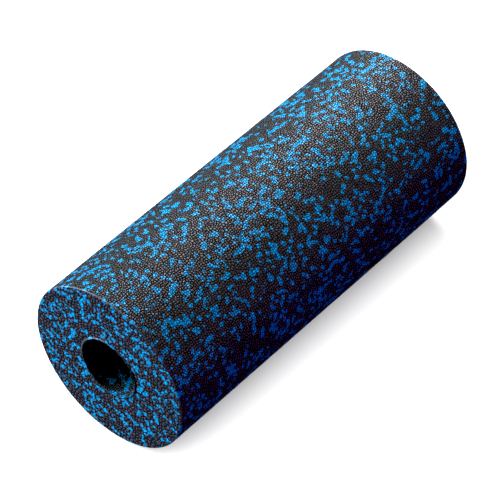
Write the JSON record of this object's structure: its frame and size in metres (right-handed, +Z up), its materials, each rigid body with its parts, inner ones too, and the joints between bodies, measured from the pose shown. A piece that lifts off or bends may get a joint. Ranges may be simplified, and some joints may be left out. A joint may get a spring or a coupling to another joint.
{
  "type": "foam roller",
  "caption": "Short massage roller of black and blue bead foam: a thick-walled tube with flat ends, rounded rims and a straight bore from end to end.",
  "frame": {"origin": "on the floor under the middle of the roller, which lies on its side", "axes": "+X along the roller's axis, from one end face to the other; +Z up; +Y across, to the left of +X"},
  "size_m": [0.33, 0.14, 0.14],
  "materials": {
    "bead_foam": "satin pebble-grained skin over fused black and blue foam beads of 3 to 4 mm, about one bead in four blue"
  },
  "bodies": {
    "roller": {"roller_body": "bead_foam"}
  },
  "joints": []
}
